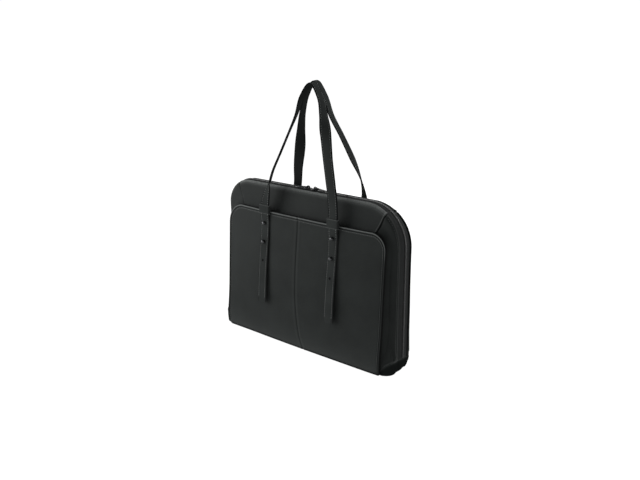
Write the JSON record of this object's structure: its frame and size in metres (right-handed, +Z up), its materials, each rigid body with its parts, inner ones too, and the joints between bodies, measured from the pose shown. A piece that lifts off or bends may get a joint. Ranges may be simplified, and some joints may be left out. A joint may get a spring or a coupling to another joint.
{
  "type": "business bag",
  "caption": "Slim zipped business bag in dark leather with a full-width front slip pocket, studded strap handles and round top corners.",
  "frame": {"origin": "on the floor under the middle of the bag's overall box", "axes": "+Z up, +X to the right as seen from the front, the pocket's side facing -Y"},
  "size_m": [0.3944, 0.1074, 0.46],
  "materials": {
    "body_leather": "fine grain, semi-matt",
    "strap_leather": "smooth, painted edges",
    "zip_tape": "fine woven",
    "zip_teeth": "satin",
    "dark_metal": "dark nickel"
  },
  "bodies": {
    "bag": {"body_front": "body_leather", "body_back": "body_leather", "front_pocket_right": "body_leather", "front_pocket_left": "body_leather", "gusset_front_right": "body_leather", "gusset_front_left": "body_leather", "gusset_back_right": "body_leather", "gusset_back_left": "body_leather", "base_panel": "body_leather", "zip_tape_front": "zip_tape", "zip_tape_back": "zip_tape", "zip_chain": "zip_teeth", "handle_front": "strap_leather", "handle_back": "strap_leather", "keeper_front_left": "strap_leather", "keeper_front_right": "strap_leather", "keeper_back_left": "strap_leather", "keeper_back_right": "strap_leather", "stud_front_left_upper": "dark_metal", "stud_front_left_lower": "dark_metal", "stud_front_right_upper": "dark_metal", "stud_front_right_lower": "dark_metal", "stud_back_left_upper": "dark_metal", "stud_back_left_lower": "dark_metal", "stud_back_right_upper": "dark_metal", "stud_back_right_lower": "dark_metal", "zip_slider_left": "dark_metal", "zip_slider_right": "dark_metal"},
    "pull_left": {"zip_pull_left": "dark_metal"},
    "pull_right": {"zip_pull_right": "dark_metal"}
  },
  "joints": [
    {"name": "pull_left_hinge", "type": "hinge", "parent": "bag", "child": "pull_left", "pos_m": [-0.012, 0, 0.28095], "axis": [0, 1, 0], "range_deg": [0, 95]},
    {"name": "pull_right_hinge", "type": "hinge", "parent": "bag", "child": "pull_right", "pos_m": [0.004, 0, 0.28095], "axis": [0, -1, 0], "range_deg": [0, 95]}
  ]
}
